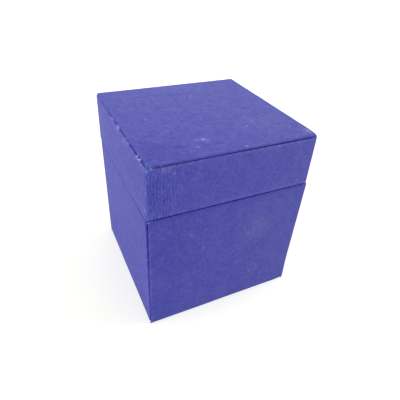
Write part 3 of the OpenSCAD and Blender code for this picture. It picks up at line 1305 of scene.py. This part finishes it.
class BOX_OT_base_walls(Operator):
    """Makes the outer walls of the base with their gaping corner joint"""

    bl_idname = "covered_box.base_walls"
    bl_label = "Base Walls"

    def execute(self, context):
        boards = context.scene.covered_box_boards
        joint = context.scene.covered_box_joint
        middle, half = half_sizes(BASE_LOW, BASE_HIGH, boards.right_bulge + boards.base_bulge)
        low, high = BASE_LOW.z, BASE_HIGH.z - boards.shoulder_drop
        corner = Vector(middle) - Vector(half)
        closed_from = high - joint.bridge
        closing_height, shut_gap = 0.35 * MM, 0.02 * MM
        splay_reach, foot_reach, shut_reach = 14 * MM, 12 * MM, 1.5 * MM
        nib_width, nib_height = 1.8 * MM, 1.3 * MM
        tuck_place, tuck_width, tuck_height, tuck_depth = 3.5 * MM, 1.8 * MM, 1.2 * MM, 2 * MM
        rim_inset, rim_height, lid_shade_height = 0.3 * MM, 1 * MM, 6 * MM
        near_lid_shade, near_height, far_lid_shade, far_height = 0.6, 2.2 * MM, 0.3, 4.5 * MM
        rubbed_foot, rubbed_height, rubbed_fold = 0.35, 0.8 * MM, 0.35
        rubbed_and_lit_end, end_place, end_width = 0.3, 1.1 * MM, 0.6 * MM

        def gap(z):
            """Width of the joint at a height. The turned-in cloth closes it at the shoulder."""
            wide = joint.foot_gap + (joint.top_gap - joint.foot_gap) * z / high
            shut = min(max((z - closed_from) / closing_height, 0), 1)
            return wide * (1 - shut) + shut_gap * shut

        def lift(x, y, z):
            """Splays the ends, moves the front foot out, and makes nib, tuck and shut shoulder."""
            along_front, along_left = x - corner.x, y - corner.y
            from_right = middle[0] + half[0] - x
            at_front, at_left = fade(along_left, AT_WALL), fade(along_front, AT_WALL)
            splay = joint.splay * ((z - low) / (high - low)) ** 2
            foot = boards.foot_forward * fade(z - low, foot_reach)
            nib = joint.left_nib * fade(along_left, nib_width) * fade(z - low, nib_height)
            push_front = (splay * fade(along_front, splay_reach) + foot) * at_front
            push_left = (splay * fade(along_left, splay_reach) + nib) * at_left
            tuck = fade(from_right - tuck_place, tuck_width) * fade(z - low, tuck_height)
            tuck *= joint.right_tuck * fade(along_left, tuck_depth)
            shut = boards.shoulder_drop * fade(high - z, shut_reach) * at_left * at_front
            return x - push_left, y - push_front, z + tuck + shut

        def wear(point, z, inset):
            """Deep in the joint and on the shoulder, with a painted shade there; a painted shadow of the lid
            below the shoulder; rubbed at foot and folds, and rubbed with a painted highlight beside the slit.
            """
            drop = high - z
            if point.deep or (inset > rim_inset and drop < rim_height):
                return DEEP
            # Below the shoulder: a painted shadow of the lid's overhang
            if drop < lid_shade_height:
                return -near_lid_shade * fade(drop, near_height) - far_lid_shade * fade(drop, far_height)
            foot = rubbed_foot * fade(z - low, rubbed_height)
            on_front = point.ny < -0.9
            # Beside the slit, the front wall's rounded end is rubbed and has a painted highlight
            beside = rubbed_and_lit_end * fade(point.x - corner.x - end_place, end_width) if on_front else 0.0
            return max(foot, beside, rubbed_fold * point.fold)

        along, up, arc = BASE_STEPS
        thing = open_band(
            "base_wall_band", middle, half, boards.board, (boards.fold_radius, boards.inner_radius),
            rim_levels(low, high, (boards.foot_radius, boards.rim_radius), up), (along, arc), gap,
            (joint.left_tip, joint.front_tip), joint.aside, lift, wear)
        piece = handmade(
            thing, (BASE_LOW, BASE_HIGH), 1.0, boards, cloth_material(), BASE_LEAN, (low, high))
        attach(piece, "base")
        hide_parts("base_walls")
        return {"FINISHED"}


class BOX_OT_base_floor(Operator):
    """Makes the floor board inside the foot of the walls"""

    bl_idname = "covered_box.base_floor"
    bl_label = "Base Floor"

    def execute(self, context):
        boards = context.scene.covered_box_boards
        middle, half = half_sizes(FLOOR_LOW, FLOOR_HIGH)
        low, high = FLOOR_LOW.z, FLOOR_HIGH.z
        edge, cut = 0.3 * MM, 0.3 * 0.3 * MM
        profile = [(edge, low), (cut, low + cut), (0, low + edge),
                   (0, high - edge), (cut, high - cut), (edge, high)]
        thing = covered_board("floor_board", middle, half, FLOOR_CORNER, profile, FLOOR_STEPS)
        piece = handmade(thing, (FLOOR_LOW, FLOOR_HIGH), 2.0, boards, lining_material(), waves=0.0)
        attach(piece, "base")
        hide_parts("base_floor")
        return {"FINISHED"}


class BOX_OT_neck(Operator):
    """Makes the neck frame that guides the lid"""

    bl_idname = "covered_box.neck"
    bl_label = "Neck"

    def execute(self, context):
        boards = context.scene.covered_box_boards
        middle, half = half_sizes(NECK_LOW, NECK_HIGH)
        along, up, arc = NECK_STEPS
        levels = rim_levels(NECK_LOW.z, NECK_HIGH.z, (NECK_RIM, NECK_RIM), up)
        thing = closed_band(
            "neck_frame", middle, half, boards.neck_board, (NECK_FOLD, boards.inner_radius), levels, levels,
            (along, arc), no_wear, no_lift)
        piece = handmade(thing, (NECK_LOW, NECK_HIGH), 3.0, boards, lining_material(), waves=0.6)
        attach(piece, "base")
        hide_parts("neck")
        return {"FINISHED"}


class BOX_OT_lid_walls(Operator):
    """Makes the folded walls of the lid"""

    bl_idname = "covered_box.lid_walls"
    bl_label = "Lid Walls"

    def execute(self, context):
        boards = context.scene.covered_box_boards
        middle, half = half_sizes(LID_LOW, LID_HIGH, boards.right_bulge)
        low, high = LID_LOW.z, LID_HIGH.z - boards.panel_seat
        foot_radius, rim_radius = 0.4 * MM, 0.5 * MM
        groove_inset, into_panel = 0.95 * MM, 0.05 * MM
        right_rise, rise_width, rise_depth = 0.35 * MM, 2.2 * MM, 2 * MM
        left_reach, side_reach = 5 * MM, 3 * MM
        cloth_width, cloth_depth = 2 * MM, 2.5 * MM
        rim_round, round_width, round_depth = 0.35 * MM, 2.5 * MM, 0.8 * MM
        groove_drop, groove_start, groove_span = 0.6 * MM, 0.3 * MM, (0.4 * MM, 1.4 * MM)
        groove_open, wave_open, wave_lengths = 0.12, 0.12, (2.3 * MM, 3.7 * MM)
        far_open, far_reach, near_open, near_reach = 0.13, 40 * MM, 0.6, 10 * MM
        deep_rim, deep_foot, foot_height = 0.55 * MM, 0.25 * MM, 1 * MM
        rubbed_rim, rubbed_foot, rubbed_height, rubbed_fold = 0.4, 0.2, 1.2 * MM, 0.4

        def lift(x, y, z):
            """Closes the groove along the left, back and right, and gathers the cloth at the right corner."""
            from_left = x - LID_LOW.x
            from_right = LID_HIGH.x + boards.right_bulge - x
            from_front, from_back = y - LID_LOW.y, LID_HIGH.y - y
            by_left = fade(from_left, left_reach)
            at_side = max(by_left, fade(from_right, side_reach), fade(from_back, side_reach))
            drop = high - z
            rounded = rim_round * fade(drop, round_depth) * fade(from_right, round_width)
            in_groove = 0 < drop < groove_drop and groove_span[0] < from_left < groove_span[1]
            if in_groove and from_front > groove_start:
                waves = math.sin(y / wave_lengths[0]) * math.sin(y / wave_lengths[1])
                near = far_open * fade(from_front, far_reach) + near_open * fade(from_front, near_reach)
                drop *= groove_open + near + wave_open * waves
            rise = boards.panel_seat * at_side + right_rise * fade(from_right, rise_width)
            rise += boards.corner_cloth * fade(from_right, cloth_width) * fade(from_front, cloth_depth)
            return x - rounded, y, high - drop + rise * fade(drop, rise_depth)

        def wear(point, z, inset):
            """Deep in the groove and under the foot, with a painted shade there, and rubbed at the rims and
            folds.
            """
            if inset > deep_rim or (inset > deep_foot and z < low + foot_height):
                return DEEP
            rim = rubbed_rim * fade(high - z, rubbed_height)
            foot = rubbed_foot * fade(z - low - foot_height, rubbed_height)
            return max(rim, foot, rubbed_fold * point.fold)

        along, up, arc = LID_STEPS
        radii = (foot_radius, rim_radius)
        thing = closed_band(
            "lid_wall_band", middle, half, boards.board, (boards.fold_radius, boards.inner_radius),
            rim_levels(low, high, radii, up, (boards.groove_depth, groove_inset)),
            rim_levels(low, LID_HIGH.z + into_panel, radii, up), (along, arc), wear, lift)
        piece = handmade(
            thing, (LID_LOW, LID_HIGH), 4.0, boards, cloth_material(), LID_LEAN, (high, low))
        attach(piece, "lid")
        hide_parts("lid_walls")
        return {"FINISHED"}


class BOX_OT_lid_top(Operator):
    """Makes the covered panel on top of the lid"""

    bl_idname = "covered_box.lid_top"
    bl_label = "Lid Top"

    def execute(self, context):
        boards = context.scene.covered_box_boards
        panel = context.scene.covered_box_panel
        middle, half = half_sizes(LID_LOW, LID_HIGH, boards.right_bulge)
        middle = (middle[0], middle[1] - panel.forward)
        half = (half[0] - panel.inset, half[1] - panel.inset)
        low, high = PANEL_LOW.z, PANEL_HIGH.z
        belly = low + 0.15 * (high - low)
        deep_to = low + 0.35 * (high - low)
        rubbed_edge, rubbed_height, ripple_height = 0.3, 0.8 * MM, 0.1 * MM
        ripple_lengths, side_reach, sink_reach = (2.9 * MM, 1.3 * MM), 2.5 * MM, 4 * MM
        under_steps, edge_steps = 5, 6
        profile = []
        for j in range(under_steps):
            angle = math.pi / 2 * j / under_steps
            inset = panel.undercut * (1 - math.sin(angle))
            profile.append((inset, belly - (belly - low) * math.cos(angle)))
        for j in range(edge_steps + 1):
            angle = math.pi / 2 * j / edge_steps
            inset = panel.edge_radius * (1 - math.cos(angle))
            profile.append((inset, belly + (high - belly) * math.sin(angle)))

        def wear(point, z, inset):
            """Deep under the edge, with a painted shade there, and rubbed above it."""
            if z < deep_to:
                return DEEP
            edge = rubbed_edge * fade(high - z, rubbed_height)
            return edge * (0.8 + 0.4 * point.fold)

        def drawn_in(point, inset):
            """Less undercut along the left and right sides, where the edge waves a little."""
            at_side = max(abs(point.nx), fade(half[0] - abs(point.x), side_reach))
            ripple = math.sin(point.y / ripple_lengths[0]) * math.sin(point.y / ripple_lengths[1])
            ripple *= ripple_height * abs(point.nx)
            return inset * (1 - (1 - panel.left_undercut) * at_side) + ripple

        def sunk(x, y):
            """How far the front right corner is bent down."""
            return panel.corner_sink * fade(math.hypot(half[0] - x, half[1] + y), sink_reach)

        thing = covered_board(
            "lid_top_panel", middle, half, panel.corner_radius, profile, PANEL_STEPS, wear, panel.turn, True,
            drawn_in, sunk)
        piece = handmade(thing, (PANEL_LOW, PANEL_HIGH), 5.0, boards, cloth_material())
        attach(piece, "lid")
        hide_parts("lid_top")
        return {"FINISHED"}


class BOX_OT_frayed_threads(Operator):
    """Makes the threads that have frayed along the lid's upper left edge and at its front corner"""

    bl_idname = "covered_box.frayed_threads"
    bl_label = "Frayed Threads"

    def execute(self, context):
        look = context.scene.covered_box_cloth
        chance = random.Random(look.seed)
        roots = []
        for centre, spread_by, count in FRAYED_PLACES:
            for _ in range(count):
                root = [(value + chance.gauss(0, reach)) * MM for value, reach in zip(centre, spread_by)]
                roots.append(root)
        data = bpy.data.meshes.new("frayed_threads")
        data.from_pydata(roots, [], [])
        thing = linked(bpy.data.objects.new("frayed_threads", data))
        piece = finished(thing, thread_tree(), {
            "Length": look.thread_length, "Thickness": look.thread_thickness, "Seed": look.seed,
            "Material": thread_material(),
        })
        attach(piece, "lid")
        return {"FINISHED"}


class BOX_OT_stage(Operator):
    """Lays the floor and sets the light and the camera"""

    bl_idname = "covered_box.stage"
    bl_label = "Stage"

    def execute(self, context):
        stage = context.scene.covered_box_stage
        add_floor(stage)
        add_light()
        add_camera(stage)
        context.scene.view_settings.view_transform = "Standard"
        return {"FINISHED"}


def add_floor(stage):
    """A wide floor under the box."""
    data = bpy.data.meshes.new("floor")
    corners = [(x * FLOOR_REACH, y * FLOOR_REACH, 0) for x, y in ((-1, -1), (1, -1), (1, 1), (-1, 1))]
    data.from_pydata(corners, [], [(0, 1, 2, 3)])
    data.materials.append(floor_material(stage.floor, stage.floor_glow))
    floor = linked(bpy.data.objects.new("floor", data))


def add_light():
    """Four soft lamps round the box in an even white room."""
    for name, towards, strength in LAMPS:
        data = bpy.data.lights.new(name, "SUN")
        data.energy = strength
        data.angle = LAMP_SPREAD
        lamp = linked(bpy.data.objects.new(name, data))
        lamp.rotation_euler = Vector(towards).to_track_quat("Z", "Y").to_euler()
    world = bpy.data.worlds.new("White room")
    world.use_nodes = True
    tree = world.node_tree
    tree.nodes.clear()
    seen = add_node(tree, "ShaderNodeBackground", {"Color": (1, 1, 1, 1), "Strength": 1.0})
    lit = add_node(tree, "ShaderNodeBackground", {"Color": (1, 1, 1, 1), "Strength": ROOM_LIGHT})
    mix = add_node(tree, "ShaderNodeMixShader", {
        0: seen_directly(tree), 1: lit.outputs[0], 2: seen.outputs[0]})
    add_node(tree, "ShaderNodeOutputWorld", {"Surface": mix.outputs[0]})
    bpy.context.scene.world = world


def add_camera(stage):
    """The camera at the photograph's viewing angle."""
    data = bpy.data.cameras.new("camera")
    data.sensor_width = SENSOR_WIDTH
    data.lens = stage.focal_pixels / PICTURE_SIDE * SENSOR_WIDTH
    data.shift_y = -stage.rise_pixels / PICTURE_SIDE
    data.clip_start = 0.01
    data.clip_end = 50
    a, e, r = stage.azimuth, stage.elevation, stage.roll
    ahead = Vector((math.sin(a) * math.cos(e), math.cos(a) * math.cos(e), -math.sin(e)))
    level = Vector((math.cos(a), -math.sin(a), 0))
    upright = level.cross(ahead)
    right = level * math.cos(r) + upright * math.sin(r)
    up = upright * math.cos(r) - level * math.sin(r)
    turned = Matrix((right, up, -ahead)).transposed().to_4x4()
    camera = linked(bpy.data.objects.new("camera", data))
    camera.matrix_world = Matrix.Translation(stage.place) @ turned
    bpy.context.scene.camera = camera


STEPS = (BOX_OT_base_walls, BOX_OT_base_floor, BOX_OT_neck, BOX_OT_lid_walls, BOX_OT_lid_top,
         BOX_OT_frayed_threads, BOX_OT_stage)


class BOX_PT_covered_box(Panel):
    """Lists the steps that make the box"""

    bl_idname = "BOX_PT_covered_box"
    bl_label = "Covered Box"
    bl_space_type = "VIEW_3D"
    bl_region_type = "UI"
    bl_category = "Covered Box"

    def draw(self, context):
        for name, group in GROUPS.items():
            box = self.layout.box()
            settings = getattr(context.scene, "covered_box_" + name)
            for field in group.__annotations__:
                box.prop(settings, field)
        for step in STEPS:
            self.layout.operator(step.bl_idname)


CLASSES = (*GROUPS.values(), *STEPS, BOX_PT_covered_box)


def register():
    """Registers the classes and their settings."""
    for cls in CLASSES:
        bpy.utils.register_class(cls)
    for name, group in GROUPS.items():
        setattr(bpy.types.Scene, "covered_box_" + name, PointerProperty(type=group))


def unregister():
    """Takes the settings and the classes away again."""
    for name in GROUPS:
        delattr(bpy.types.Scene, "covered_box_" + name)
    for cls in reversed(CLASSES):
        bpy.utils.unregister_class(cls)


def main():
    """Makes the box and its stage."""
    register()
    for step in STEPS:
        family, action = step.bl_idname.split(".")
        getattr(getattr(bpy.ops, family), action)()


if __name__ == "__main__":
    main()
